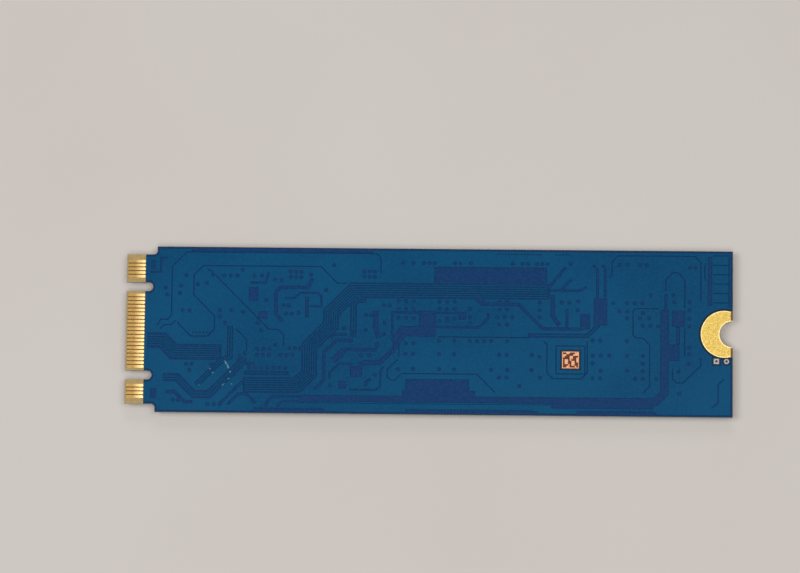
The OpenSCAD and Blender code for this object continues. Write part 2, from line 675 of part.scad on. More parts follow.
// The mask's raised areas, wider than the copper by the mask's own thickness
module mask_plateau() {
    difference() {
        copper_field(copper_inset - mask_t, 2 * mask_gap - mask_t);
        difference() {
            bare_back(2 * mask_t);
            traces(2 * mask_t);
        }
    }
}

module laminate() {
    color("darkkhaki")
        difference() {
            translate([0, 0, core_z])
                linear_extrude(core_t)
                    difference() {
                        board_outline(0);
                        eyelet_holes(eyelet_hole_d + 2 * eyelet_wall);
                    }
            tip_bevel();
            translate([0, 0, 2 * core_z + core_t])
                mirror([0, 0, 1])
                    tip_bevel();
        }
}

// Wedge that bevels the tip's back edge
module tip_bevel() {
    rotate([90, 0, 0])
        linear_extrude(board_w, center = true)
            polygon([
                [tip_x + bevel_l, back_z],
                [tip_x - bevel_l, back_z - 2 * bevel_t],
                [tip_x - bevel_l, back_z + over]
            ]);
}

module front_solder_mask() {
    color("steelblue")
        translate([0, 0, seat_h])
            linear_extrude(skin_t)
                difference() {
                    board_outline(mask_inset);
                    bare_tongue();
                    gold_openings(mask_gap);
                    lands();
                }
}

// Contacts of one face: the runs give a first number and a count
module contacts(runs, length) {
    for (run = runs)
        for (i = [0 : run[1] - 1])
            translate([tip_x + contact_start, contact_y(run[0] + 2 * i)])
                contact_outline(length);
}

module contact_outline(length) {
    c = contact_chamfer;
    half = contact_w / 2;
    polygon([
        [0, c - half], [c, -half], [length - c, -half], [length, c - half],
        [length, half - c], [length - c, half], [c, half], [0, half - c]
    ]);
}

module back_contacts() {
    color("gold")
        translate([0, 0, back_z])
            linear_extrude(copper_t)
                contacts(back_runs, mask_start - contact_mask_gap - contact_start);
}

module front_contacts() {
    color("gold")
        translate([0, 0, core_z - copper_t])
            linear_extrude(copper_t)
                contacts(front_runs, front_contact_l);
}

// Both pads and the plated wall of the notch are one piece of gold-plated copper
module half_moon_pad() {
    color("gold") {
        for (z = [core_z - copper_t, back_z])
            translate([0, 0, z])
                linear_extrude(copper_t)
                    half_moon(pad_r, end_x - pad_edge_gap);
        translate([0, 0, core_z - copper_t])
            linear_extrude(core_t + 2 * copper_t)
                notch_ring();
    }
}

module test_eyelets() {
    color("silver") {
        for (z = [core_z - copper_t, back_z])
            translate([0, 0, z])
                linear_extrude(copper_t)
                    difference() {
                        eyelet_lands(0);
                        eyelet_holes(eyelet_hole_d);
                    }
        translate([0, 0, core_z])
            linear_extrude(core_t)
                difference() {
                    eyelet_holes(eyelet_hole_d + 2 * eyelet_wall);
                    eyelet_holes(eyelet_hole_d);
                }
    }
}

// True where a cell of the patch is burned: a made-up pattern that holds no data
function burned(i, j) = sin(97 * i + 41 * j) + cos(83 * j - 61 * i) > -0.15;

module code_patch() {
    cell = code_side / (code_cells + 1);
    color("darksalmon")
        difference() {
            translate([0, 0, back_z])
                linear_extrude(copper_t)
                    code_square(0);
            translate([0, 0, back_z + copper_t - code_depth])
                linear_extrude(over)
                    translate(place(code_place))
                        for (i = [0 : code_cells - 1])
                            for (j = [0 : code_cells - 1])
                                if (burned(i, j))
                                    translate([i - (code_cells - 1) / 2, j - (code_cells - 1) / 2] * cell)
                                        square(cell * code_cell_fill, center = true);
        }
}

// Moulded package with its lid down and its lid's edges bevelled
module package(place, l, w, t) {
    translate([place[0], place[1], seat_h - ball_h - t])
        difference() {
            intersection() {
                rotate([90, 0, 0])
                    linear_extrude(w, center = true)
                        polygon(package_profile(l, t));
                rotate([90, 0, 90])
                    linear_extrude(l, center = true)
                        polygon(package_profile(w, t));
            }
            translate([mark_inset - l / 2, w / 2 - mark_inset, -over])
                cylinder(d = mark_d, h = over + mark_depth, $fn = 32);
        }
}

function package_profile(s, t) = [
    [package_chamfer - s / 2, 0],
    [s / 2 - package_chamfer, 0],
    [s / 2, package_chamfer],
    [s / 2, t],
    [-s / 2, t],
    [-s / 2, package_chamfer]
];

// Grid of balls; rings and columns nearer the middle than the empty band are left out
module balls(place, columns, rows, pitch, d, empty_columns) {
    for (i = [0 : columns - 1])
        for (j = [0 : rows - 1])
            if (abs(i - (columns - 1) / 2) > empty_columns / 2)
                translate([place[0] + (i - (columns - 1) / 2) * pitch,
                           place[1] + (j - (rows - 1) / 2) * pitch,
                           seat_h - ball_h])
                    cylinder(d = d, h = ball_h, $fn = 16);
}

module controller() {
    color("dimgray")
        package([controller_x, 0], controller_l, controller_l, controller_t);
}

module controller_balls() {
    color("silver")
        balls([controller_x, 0], controller_columns, controller_columns,
              fine_ball_pitch, fine_ball_d, 0);
}

module memory() {
    color("dimgray")
        package([memory_x, 0], memory_l, memory_w, memory_t);
}

module memory_balls() {
    color("silver")
        balls([memory_x, 0], memory_columns, memory_rows, fine_ball_pitch, fine_ball_d, memory_empty);
}

module flash_near() {
    color("dimgray")
        package([near_flash_x, flash_y], flash_l, flash_w, flash_t);
}

module flash_near_balls() {
    color("silver")
        balls([near_flash_x, flash_y], flash_columns, flash_rows,
              flash_ball_pitch, flash_ball_d, flash_empty);
}

module flash_far() {
    color("dimgray")
        package([far_flash_x, flash_y], flash_l, flash_w, flash_t);
}

module flash_far_balls() {
    color("silver")
        balls([far_flash_x, flash_y], flash_columns, flash_rows,
              flash_ball_pitch, flash_ball_d, flash_empty);
}

// Leadless chip with pads let into its underside
module leadless_body(place, side, h, pads) {
    color("dimgray")
        difference() {
            translate([place[0] - side / 2, place[1] - side / 2, seat_h - h])
                cube([side, side, h]);
            leadless_pads(place, side, pads);
        }
}

module leadless_pads(place, side, pads) {
    for (turn = [0 : 3])
        for (i = [0 : pads - 1])
            translate([place[0], place[1], seat_h - lead_h])
                rotate([0, 0, 90 * turn])
                    translate([side / 2 - lead_l, (i - (pads - 1) / 2) * lead_pitch - lead_w / 2, 0])
                        cube([lead_l, lead_w, lead_h]);
}

module power_chip() {
    leadless_body(power_chip_place, power_chip_side, power_chip_h, power_chip_leads);
}

module power_chip_pads() {
    color("silver")
        leadless_pads(power_chip_place, power_chip_side, power_chip_leads);
}

module load_switch() {
    leadless_body(switch_place, switch_side, switch_h, switch_leads);
}

module load_switch_pads() {
    color("silver")
        leadless_pads(switch_place, switch_side, switch_leads);
}

module inductors() {
    color("gray")
        difference() {
            for (place = inductor_places)
                translate([place[0], place[1], seat_h - inductor_h])
                    linear_extrude(inductor_h)
                        difference() {
                            square(inductor_side, center = true);
                            for (turn = [0 : 3])
                                rotate(90 * turn)
                                    translate([inductor_side / 2, inductor_side / 2])
                                        rotate(45)
                                            square(inductor_corner, center = true);
                        }
            inductor_plates();
        }
}

module inductor_plates() {
    for (place = inductor_places)
        for (side = [0, 1])
            translate([place[0], place[1], seat_h - plate_h])
                rotate([0, 0, 180 * side])
                    translate([inductor_side / 2 - plate_l, -inductor_side / 2 + inductor_corner, 0])
                        cube([plate_l, inductor_side - 2 * inductor_corner, plate_h]);
}

module inductor_terminals() {
    color("silver")
        inductor_plates();
}

module crystal_base() {
    color("dimgray")
        translate([crystal_place[0] - crystal_l / 2, crystal_place[1] - crystal_w / 2,
                   seat_h - crystal_base_h])
            cube([crystal_l, crystal_w, crystal_base_h]);
}

module crystal_lid() {
    l = crystal_l - 2 * crystal_rim;
    w = crystal_w - 2 * crystal_rim;
    color("silver")
        translate([crystal_place[0] - l / 2, crystal_place[1] - w / 2,
                   seat_h - crystal_base_h - crystal_lid_h])
            cube([l, w, crystal_lid_h]);
}

// Where the small parts of one kind sit: each row is a place, a count, a step and a turn
module each_place(rows) {
    for (row = rows)
        for (i = [0 : row[1] - 1])
            translate([row[0][0] + i * row[2][0], row[0][1] + i * row[2][1]])
                rotate(row[3])
                    children();
}

module chip_bodies(rows, l, w, h, cap) {
    translate([0, 0, seat_h - h])
        each_place(rows)
            translate([cap - l / 2, -w / 2, 0])
                cube([l - 2 * cap, w, h]);
}

module chip_caps(rows, l, w, h, cap) {
    translate([0, 0, seat_h - h])
        each_place(rows)
            for (x = [-l / 2, l / 2 - cap])
                translate([x, -w / 2, 0])
                    cube([cap, w, h]);
}

// Land areas under the caps of small parts
module chip_lands(rows, l, w, cap) {
    each_place(rows)
        for (side = [0, 1])
            rotate(180 * side)
                translate([l / 2 - cap - land_margin, -w / 2 - land_margin])
                    square([cap + 2 * land_margin, w + 2 * land_margin]);
}

module lands() {
    chip_lands(concat(capacitor_rows, resistor_rows), chip_l, chip_w, cap_l);
    chip_lands(large_rows, large_l, large_w, large_cap_l);
}

module front_lands() {
    color("silver")
        translate([0, 0, seat_h])
            linear_extrude(skin_t)
                lands();
}

module small_capacitors() {
    color("burlywood")
        chip_bodies(capacitor_rows, chip_l, chip_w, capacitor_h, cap_l);
}

module small_capacitor_caps() {
    color("silver")
        chip_caps(capacitor_rows, chip_l, chip_w, capacitor_h, cap_l);
}

module large_capacitors() {
    color("burlywood")
        chip_bodies(large_rows, large_l, large_w, large_h, large_cap_l);
}

module large_capacitor_caps() {
    color("silver")
        chip_caps(large_rows, large_l, large_w, large_h, large_cap_l);
}

module resistors() {
    color("black")
        chip_bodies(resistor_rows, chip_l, chip_w, resistor_h, cap_l);
}

module resistor_caps() {
    color("silver")
        chip_caps(resistor_rows, chip_l, chip_w, resistor_h, cap_l);
}

laminate();
back_copper();
back_solder_mask();
front_solder_mask();
back_contacts();
front_contacts();
half_moon_pad();
test_eyelets();
code_patch();
front_lands();
controller();
controller_balls();
memory();
memory_balls();
flash_near();
flash_near_balls();
flash_far();
flash_far_balls();
power_chip();
power_chip_pads();
load_switch();
load_switch_pads();
inductors();
inductor_terminals();
crystal_base();
crystal_lid();
small_capacitors();
small_capacitor_caps();
large_capacitors();
large_capacitor_caps();
resistors();
resistor_caps();
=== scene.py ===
import math
import bmesh
import bpy
import numpy as np
from mathutils import Euler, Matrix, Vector


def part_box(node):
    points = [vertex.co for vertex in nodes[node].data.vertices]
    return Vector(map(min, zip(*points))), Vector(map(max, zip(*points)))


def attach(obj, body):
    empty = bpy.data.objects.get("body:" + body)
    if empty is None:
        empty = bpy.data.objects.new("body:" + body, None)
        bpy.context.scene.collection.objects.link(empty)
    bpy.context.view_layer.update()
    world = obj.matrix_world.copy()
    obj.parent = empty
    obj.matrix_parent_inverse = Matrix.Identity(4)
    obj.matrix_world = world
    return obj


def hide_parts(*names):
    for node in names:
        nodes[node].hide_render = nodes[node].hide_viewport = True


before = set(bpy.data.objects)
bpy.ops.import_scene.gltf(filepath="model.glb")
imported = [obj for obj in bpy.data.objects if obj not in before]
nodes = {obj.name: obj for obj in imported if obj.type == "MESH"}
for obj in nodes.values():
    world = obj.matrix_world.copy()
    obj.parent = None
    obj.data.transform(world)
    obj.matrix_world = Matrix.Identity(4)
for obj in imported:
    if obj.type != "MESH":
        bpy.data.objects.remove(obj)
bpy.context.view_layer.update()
MM = 0.001


# Glass laminate core
# The card's stiff core is woven glass in epoxy, pressed flat and routed to shape.
# Its faces are olive, with painted shade between the contacts, and the routed walls are grey with cut
# glass.
def srgb(red, green, blue):
    """A colour as it is seen, 0 to 255 a channel, as the linear values that shaders take."""
    def channel(value):
        share = value / 255
        return share / 12.92 if share <= 0.04045 else ((share + 0.055) / 1.055) ** 2.4
    return channel(red), channel(green), channel(blue), 1.0


def finish(name, metallic, roughness, gloss=0.5):
    """A new material with its shader's constant values set, and where its nodes are added."""
    material = bpy.data.materials.new(name)
    material.use_nodes = True
    tree = material.node_tree
    shader = tree.nodes["Principled BSDF"]
    shader.inputs["Metallic"].default_value = metallic
    shader.inputs["Roughness"].default_value = roughness
    shader.inputs["Specular IOR Level"].default_value = gloss
    return material, tree, shader


def place_in_part(tree):
    """The point on the part, in metres along its own axes."""
    return tree.nodes.new("ShaderNodeTexCoord").outputs["Object"]


def along(tree, axis):
    split = tree.nodes.new("ShaderNodeSeparateXYZ")
    tree.links.new(place_in_part(tree), split.inputs[0])
    return split.outputs[axis]


def grain(tree, size_mm, detail=2.0, stretch=(1, 1, 1)):
    """Cloudy noise whose lumps are about size_mm across."""
    mapping = tree.nodes.new("ShaderNodeMapping")
    mapping.inputs["Scale"].default_value = [s / (size_mm * MM) for s in stretch]
    noise = tree.nodes.new("ShaderNodeTexNoise")
    noise.inputs["Scale"].default_value = 1.0
    noise.inputs["Detail"].default_value = detail
    tree.links.new(place_in_part(tree), mapping.inputs[0])
    tree.links.new(mapping.outputs[0], noise.inputs["Vector"])
    return noise.outputs["Fac"]


def spread(tree, value, low, high, to_low=0.0, to_high=1.0):
    """value from low to high, taken to the range to_low to to_high."""
    node = tree.nodes.new("ShaderNodeMapRange")
    for name, number in (("From Min", low), ("From Max", high), ("To Min", to_low), ("To Max", to_high)):
        node.inputs[name].default_value = number
    tree.links.new(value, node.inputs["Value"])
    return node.outputs["Result"]


def blend_colours(tree, share, first, second):
    """first where share is 0 and second where it is 1; each is a colour or a node's output."""
    node = tree.nodes.new("ShaderNodeMix")
    node.data_type = "RGBA"
    tree.links.new(share, node.inputs["Factor"])
    for name, colour in (("A", first), ("B", second)):
        socket = [s for s in node.inputs if s.name == name and s.type == "RGBA"][0]
        if isinstance(colour, tuple):
            socket.default_value = colour
        else:
            tree.links.new(colour, socket)
    return [s for s in node.outputs if s.type == "RGBA"][0]


def reckon(tree, operation, *values):
    """Arithmetic on numbers and node outputs."""
    node = tree.nodes.new("ShaderNodeMath")
    node.operation = operation
    for i, value in enumerate(values):
        if isinstance(value, (int, float)):
            node.inputs[i].default_value = value
        else:
            tree.links.new(value, node.inputs[i])
    return node.outputs[0]


def relief(tree, shader, height, depth_mm, rounding_mm=0.0):
    """Fine relief from a height, over edges that are rounded by rounding_mm."""
    bump = tree.nodes.new("ShaderNodeBump")
    bump.inputs["Distance"].default_value = depth_mm * MM
    tree.links.new(height, bump.inputs["Height"])
    if rounding_mm:
        bevel = tree.nodes.new("ShaderNodeBevel")
        bevel.samples = 8
        bevel.inputs["Radius"].default_value = rounding_mm * MM
        tree.links.new(bevel.outputs[0], bump.inputs["Normal"])
    tree.links.new(bump.outputs[0], shader.inputs["Normal"])


def faces_up(tree):
    """1 where the surface faces up or down, 0 on an upright wall."""
    geometry = tree.nodes.new("ShaderNodeNewGeometry")
    split = tree.nodes.new("ShaderNodeSeparateXYZ")
    tree.links.new(geometry.outputs["Normal"], split.inputs[0])
    return reckon(tree, "ABSOLUTE", split.outputs["Z"])


def loose_boxes(node):
    """The box of each separate solid in a CAD node, as centre and half size, in metres."""
    mesh = nodes[node].data
    points = np.array([v.co for v in mesh.vertices])
    keys = {}
    same = np.array([keys.setdefault(tuple(np.round(p, 8)), len(keys)) for p in points])
    parent = list(range(len(keys)))

    def root(i):
        while parent[i] != i:
            parent[i] = parent[parent[i]]
            i = parent[i]
        return i

    for edge in mesh.edges:
        a, b = (root(same[v]) for v in edge.vertices)
        parent[a] = b
    owner = np.array([root(i) for i in same])
    boxes = []
    for solid in sorted(set(owner)):
        corners = points[owner == solid]
        low, high = corners.min(0), corners.max(0)
        boxes.append(((low + high) / 2, (high - low) / 2))
    return sorted(boxes, key=lambda box: tuple(np.round(box[0], 6)))


def contact_groups():
    """The middle and half size of each group of contacts between the key notches."""
    contacts = sorted(loose_boxes("back_contacts"), key=lambda box: box[0][1])
    group_gap = 0.8 * MM
    groups = [[contacts[0]]]
    for contact in contacts[1:]:
        if contact[0][1] - groups[-1][-1][0][1] > group_gap:
            groups.append([])
        groups[-1].append(contact)
    return [((g[0][0] + g[-1][0]) / 2, (g[-1][0] - g[0][0]) / 2 + g[0][1]) for g in groups]


def glass_laminate():
    material, tree, shader = finish("glass_laminate", 0.0, 0.55, 0.3)
    weave = tree.nodes.new("ShaderNodeTexChecker")
    yarn_pitch = 0.25 * MM
    weave.inputs["Scale"].default_value = 1 / yarn_pitch
    tree.links.new(place_in_part(tree), weave.inputs["Vector"])
    cloud = spread(tree, grain(tree, 0.4), 0.3, 0.7)
    face = blend_colours(tree, cloud, srgb(158, 134, 80), srgb(176, 150, 96))
    faint_weave = reckon(tree, "MULTIPLY", weave.outputs["Fac"], 0.12)
    face = blend_colours(tree, faint_weave, face, srgb(128, 108, 60))
    # Painted shade: the laminate between the contacts is painted darker.
    between_contacts_shade = None
    for middle, half in contact_groups():
        inside = reckon(tree, "COMPARE", along(tree, "Y"), float(middle[1]), float(half[1]))
        inside = reckon(tree, "MULTIPLY", inside,
                        reckon(tree, "COMPARE", along(tree, "X"), float(middle[0]), float(half[0])))
        between_contacts_shade = inside if between_contacts_shade is None else reckon(tree, "ADD", between_contacts_shade, inside)
    face = blend_colours(tree, between_contacts_shade, face, srgb(108, 72, 18))
    mask_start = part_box("back_solder_mask")[0].x
    dim = blend_colours(tree, cloud, srgb(22, 32, 32), srgb(34, 44, 42))
    face = blend_colours(tree, reckon(tree, "GREATER_THAN", along(tree, "X"), mask_start), face, dim)
    pad_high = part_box("half_moon_pad")[1]
    end_strip = 0.3 * MM
    beside_pad = reckon(tree, "MULTIPLY",
                        reckon(tree, "GREATER_THAN", along(tree, "X"), pad_high.x - end_strip),
                        reckon(tree, "COMPARE", along(tree, "Y"), 0.0, pad_high.y))
    face = blend_colours(tree, beside_pad, face, srgb(104, 80, 42))
    fibres = spread(tree, grain(tree, 0.09, 3.0, (1, 1, 0.25)), 0.35, 0.65)
    wall = blend_colours(tree, fibres, srgb(158, 168, 172), srgb(188, 190, 180))
    colour = blend_colours(tree, spread(tree, faces_up(tree), 0.5, 0.9), wall, face)
    tree.links.new(colour, shader.inputs["Base Color"])
    relief(tree, shader, grain(tree, 0.12, 3.0), 0.004)
    return material


def dress(node, material):
    """The node keeps its CAD shape and takes this finish."""
    nodes[node].data.materials.clear()
    nodes[node].data.materials.append(material)
    nodes[node].material_slots[0].material = material


dress("laminate", glass_laminate())


# Etched copper of the back
# One rolled and plated copper foil, bonded to the laminate and etched into planes and traces.
# The mask covers it, and its edges show through as relief.
def brushed_copper(name, light, dark):
    material, tree, shader = finish(name, 1.0, 0.38)
    cloud = spread(tree, grain(tree, 0.3, 4.0), 0.3, 0.7)
    tree.links.new(blend_colours(tree, cloud, light, dark), shader.inputs["Base Color"])
    relief(tree, shader, grain(tree, 0.03, 2.0), 0.002)
    return material


dress("back_copper", brushed_copper("etched_copper", srgb(206, 132, 98), srgb(176, 104, 74)))


# Solder mask of both faces
# Blue epoxy lacquer, screened wet over the whole face and baked: it stands over the copper,
# sinks between it, and thins where it flows over an edge. Over bare laminate it looks more violet.
# Along the copper's edges it is painted lighter, partly thinner mask and partly a painted highlight;
# beside them over laminate it is painted darker, partly pooled mask and partly painted shade.
def from_point(tree, middle_x):
    """How far a point of the part is from a point on its long middle line, seen from above."""
    over = reckon(tree, "POWER", reckon(tree, "SUBTRACT", along(tree, "X"), middle_x), 2.0)
    across = reckon(tree, "POWER", along(tree, "Y"), 2.0)
    return reckon(tree, "SQRT", reckon(tree, "ADD", over, across))


def pad_circle(tree):
    """The radius of the gold pad, and how far a point is from the middle of its outer arc."""
    low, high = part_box("half_moon_pad")
    radius = (high.y - low.y) / 2
    return radius, from_point(tree, low.x + radius)


def solder_mask(name, low_z, high_z):
    material, tree, shader = finish(name, 0.0, 0.42, 0.05)
    lumps = grain(tree, 0.16, 3.0)
    speckle = spread(tree, grain(tree, 0.2, 3.0), 0.32, 0.68)
    over_copper = blend_colours(tree, speckle, srgb(0, 60, 101), srgb(0, 74, 113))
    over_laminate = blend_colours(tree, speckle, srgb(5, 48, 93), srgb(19, 62, 109))
    slow = spread(tree, grain(tree, 14.0, 1.0), 0.35, 0.65)
    over_copper = blend_colours(tree, reckon(tree, "MULTIPLY", slow, 0.35), over_copper, srgb(6, 84, 122))
    bevel = tree.nodes.new("ShaderNodeBevel")
    bevel.samples = 8
    edge_band_width = 0.09 * MM
    bevel.inputs["Radius"].default_value = edge_band_width
    geometry = tree.nodes.new("ShaderNodeNewGeometry")
    dot = tree.nodes.new("ShaderNodeVectorMath")
    dot.operation = "DOT_PRODUCT"
    tree.links.new(bevel.outputs[0], dot.inputs[0])
    tree.links.new(geometry.outputs["Normal"], dot.inputs[1])
    # Painted lighter along raised copper edges (thinner mask and a painted highlight), painted darker
    # beside them over laminate (pooled mask and painted shade).
    near_edge = spread(tree, dot.outputs["Value"], 1.0, 0.8)
    thinned_and_highlit = reckon(tree, "MULTIPLY", near_edge, 0.22)
    pooled_and_shaded = reckon(tree, "MULTIPLY", near_edge, 0.95)
    over_copper = blend_colours(tree, thinned_and_highlit, over_copper, srgb(46, 112, 150))
    over_laminate = blend_colours(tree, pooled_and_shaded, over_laminate, srgb(0, 32, 66))
    raised = spread(tree, along(tree, "Z"), low_z, high_z)
    colour = blend_colours(tree, raised, over_laminate, over_copper)
    pad_radius, from_pad = pad_circle(tree)
    ring_dark, ring_end = 0.17 * MM, 0.28 * MM
    rim = spread(tree, from_pad, pad_radius + ring_dark, pad_radius + ring_end, 0.9, 0.0)
    tree.links.new(blend_colours(tree, rim, colour, srgb(10, 32, 34)), shader.inputs["Base Color"])
    tree.links.new(spread(tree, lumps, 0.3, 0.7, 0.3, 0.42), shader.inputs["Roughness"])
    relief(tree, shader, lumps, 0.004, 0.08)
    return material


mask_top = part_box("back_solder_mask")[1].z
mask_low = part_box("back_copper")[1].z
dress("back_solder_mask", solder_mask("solder_mask_back", mask_low, mask_top))
front_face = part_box("front_solder_mask")[0].z
dress("front_solder_mask", solder_mask("solder_mask_front", front_face - MM, front_face))


# Gold contacts and screw pads
# Copper plated with nickel and a thin hard gold. A socket's springs have drawn fine lines along the
# contacts, and their inner ends carry a painted highlight; the pads around the screw notch are softer and
# grainy, with painted highlights along the notch and the outer edge.
def plated_gold(name, light, dark, size_mm, stretch, rough_low, rough_high, depth_mm):
    material, tree, shader = finish(name, 1.0, 0.3)
    lines = grain(tree, size_mm, 3.0, stretch)
    colour = blend_colours(tree, spread(tree, lines, 0.3, 0.7), dark, light)
    tree.links.new(spread(tree, lines, 0.3, 0.7, rough_high, rough_low), shader.inputs["Roughness"])
    relief(tree, shader, lines, depth_mm)
    return material, tree, shader, colour


def hard_gold():
    material, tree, shader, colour = plated_gold(
        "hard_gold", srgb(157, 127, 74), srgb(137, 107, 58), 0.05, (0.12, 1, 1), 0.36, 0.46, 0.001)
    outer_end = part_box("back_contacts")[0].x
    # The inner ends are painted lighter: a painted highlight.
    highlight_start, highlight_full = 0.9 * MM, 2.1 * MM
    painted_highlight = spread(tree, along(tree, "X"), outer_end + highlight_start, outer_end + highlight_full)
    colour = blend_colours(tree, reckon(tree, "MULTIPLY", painted_highlight, 0.9), colour, srgb(230, 198, 138))
    tree.links.new(colour, shader.inputs["Base Color"])
    return material


def pad_gold():
    material, tree, shader, colour = plated_gold(
        "pad_gold", srgb(211, 183, 101), srgb(166, 138, 66), 0.15, (1, 1, 1), 0.44, 0.58, 0.012)
    # Painted highlights: lighter bands along the screw notch's edge and along the pad's outer edge.
    notch_radius = 1.75 * MM
    notch_highlight_full, notch_highlight_end = 0.1 * MM, 0.16 * MM
    from_notch = from_point(tree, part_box("laminate")[1].x)
    rim = spread(tree, from_notch, notch_radius + notch_highlight_full, notch_radius + notch_highlight_end, 0.7, 0.0)
    pad_radius, from_pad = pad_circle(tree)
    edge_highlight_start, edge_highlight_full = 0.16 * MM, 0.06 * MM
    outer_edge_highlight = spread(tree, from_pad, pad_radius - edge_highlight_start, pad_radius - edge_highlight_full, 0.0, 0.75)
    rim = reckon(tree, "MAXIMUM", rim, outer_edge_highlight)
    tree.links.new(blend_colours(tree, rim, colour, srgb(232, 212, 158)), shader.inputs["Base Color"])
    return material


contact_gold = hard_gold()
dress("back_contacts", contact_gold)
dress("front_contacts", contact_gold)
dress("half_moon_pad", pad_gold())


# Test eyelets
# Drilled and plated holes with a square and a round land. Their thin plating has dulled to grey,
# and the barrels inside are painted dark brown, as painted shade in the holes.
def oxidised_eyelet():
    material, tree, shader = finish("oxidised_eyelet", 0.85, 0.45)
    cloud = spread(tree, grain(tree, 0.12, 3.0), 0.3, 0.7)
    land = blend_colours(tree, cloud, srgb(118, 113, 116), srgb(160, 154, 154))
    # The barrel walls are painted dark brown: painted shade inside the holes.
    colour = blend_colours(tree, spread(tree, faces_up(tree), 0.5, 0.9), srgb(46, 30, 22), land)
    tree.links.new(colour, shader.inputs["Base Color"])
    relief(tree, shader, cloud, 0.004)
    return material


dress("test_eyelets", oxidised_eyelet())


# Burned code patch
# Bare copper square, left free of mask so that a laser can mark it.
# The burned cells are brown and lie a little lower.
def burned_copper():
    material, tree, shader = finish("burned_copper", 0.6, 0.5)
    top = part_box("code_patch")[1].z
    cell_depth = 0.015 * MM
    cloud = spread(tree, grain(tree, 0.2, 4.0), 0.35, 0.65)
    bare = blend_colours(tree, cloud, srgb(220, 164, 124), srgb(190, 126, 88))
    burned = blend_colours(tree, cloud, srgb(56, 26, 12), srgb(92, 48, 28))
    flat = spread(tree, along(tree, "Z"), top - 0.8 * cell_depth, top - 0.2 * cell_depth)
    tree.links.new(blend_colours(tree, flat, burned, bare), shader.inputs["Base Color"])
    relief(tree, shader, grain(tree, 0.06, 3.0), 0.004)
    return material


dress("code_patch", burned_copper())


# Lands of the small parts
# Copper lands of the component side, wetted with solder that froze with a dull skin.
# They lie level with the mask around them.
def dull_tin(name, light, dark):
    material, tree, shader = finish(name, 1.0, 0.4)
    cloud = grain(tree, 0.12, 3.0)
    colour = blend_colours(tree, spread(tree, cloud, 0.3, 0.7), dark, light)
    tree.links.new(colour, shader.inputs["Base Color"])
    tree.links.new(spread(tree, cloud, 0.3, 0.7, 0.32, 0.5), shader.inputs["Roughness"])
    relief(tree, shader, cloud, 0.004, 0.02)
    return material


reflowed_solder = dull_tin("reflowed_solder", srgb(206, 206, 206), srgb(152, 152, 154))
dress("front_lands", reflowed_solder)


# Moulded packages
# Black filled epoxy, moulded over a thin green carrier that holds the chips.
# The carrier shows at the side next to the board.
def moulded_epoxy(name, carrier_low, carrier_high):
    material, tree, shader = finish(name, 0.0, 0.6, 0.35)
    filler = grain(tree, 0.05, 3.0)
    black = blend_colours(tree, spread(tree, filler, 0.3, 0.7), srgb(36, 36, 38), srgb(52, 52, 54))
    cloud = spread(tree, grain(tree, 0.3), 0.3, 0.7)
    carrier = blend_colours(tree, cloud, srgb(40, 62, 40), srgb(58, 74, 44))
    height = along(tree, "Z")
    is_carrier = reckon(tree, "GREATER_THAN", height, carrier_low)
    is_carrier = reckon(tree, "MULTIPLY", is_carrier, reckon(tree, "LESS_THAN", height, carrier_high))
    tree.links.new(blend_colours(tree, is_carrier, black, carrier), shader.inputs["Base Color"])
    relief(tree, shader, filler, 0.006, 0.04)
    return material


carrier_t = 0.26 * MM
for package in ("controller", "memory", "flash_near", "flash_far"):
    package_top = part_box(package)[1].z
    dress(package, moulded_epoxy(package + "_epoxy", package_top - carrier_t, package_top + MM))


# Solder balls
# Each package is held by a grid of solder balls under its carrier.
# They were squeezed into barrels when they melted.
def join_mesh(name, verts, faces, material, smooth=True):
    """One object in the part's frame from points in metres and faces."""
    mesh = bpy.data.meshes.new(name)
    mesh.from_pydata(verts, [], faces)
    mesh.update()
    mesh.materials.append(material)
    if smooth:
        mesh.shade_smooth()
    piece = bpy.data.objects.new(name, mesh)
    bpy.context.scene.collection.objects.link(piece)
    return piece


def stacked_rings(rings):
    """A closed skin over rings of points that have the same number each, with both ends capped."""
    count = len(rings[0])
    verts = [tuple(p) for ring in rings for p in ring]
    faces = [tuple(reversed(range(count)))]
    for level in range(len(rings) - 1):
        for i in range(count):
            j = (i + 1) % count
            faces.append((level * count + i, level * count + j,
                          (level + 1) * count + j, (level + 1) * count + i))
    faces.append(tuple(range((len(rings) - 1) * count, len(rings) * count)))
    return verts, faces


def gather(skins):
    """Several skins as one."""
    verts, faces = [], []
    for more_verts, more_faces in skins:
        start = len(verts)
        verts += more_verts
        faces += [tuple(start + i for i in face) for face in more_faces]
    return verts, faces


BALL_SIDES = 14
# Height up the ball and its width there, both as shares
BALL_PROFILE = ((0.0, 0.80), (0.12, 0.91), (0.32, 0.985), (0.5, 1.0),
                (0.68, 0.985), (0.88, 0.91), (1.0, 0.80))


def barrel(centre, half):
    rings = []
    for share, width in BALL_PROFILE:
        z = centre[2] - half[2] + 2 * half[2] * share
        rings.append([(centre[0] + width * half[0] * math.cos(2 * math.pi * i / BALL_SIDES),
                       centre[1] + width * half[1] * math.sin(2 * math.pi * i / BALL_SIDES), z)
                      for i in range(BALL_SIDES)])
    return stacked_rings(rings)


for package in ("controller", "memory", "flash_near", "flash_far"):
    grid = package + "_balls"
    barrels = gather([barrel(centre, half) for centre, half in loose_boxes(grid)])
    balls = join_mesh(grid + "_melted", *barrels, reflowed_solder)
    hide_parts(grid)
    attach(balls, "root")


# Leadless chips
# Small moulded chips of the power supply, black like the packages.
# Tinned pads are let into their undersides and soldered down.
small_epoxy = moulded_epoxy("small_chip_epoxy", MM, MM)
dipped_tin = dull_tin("dipped_tin", srgb(206, 202, 198), srgb(160, 156, 154))
dress("power_chip", small_epoxy)
dress("load_switch", small_epoxy)
dress("power_chip_pads", dipped_tin)
dress("load_switch_pads", dipped_tin)


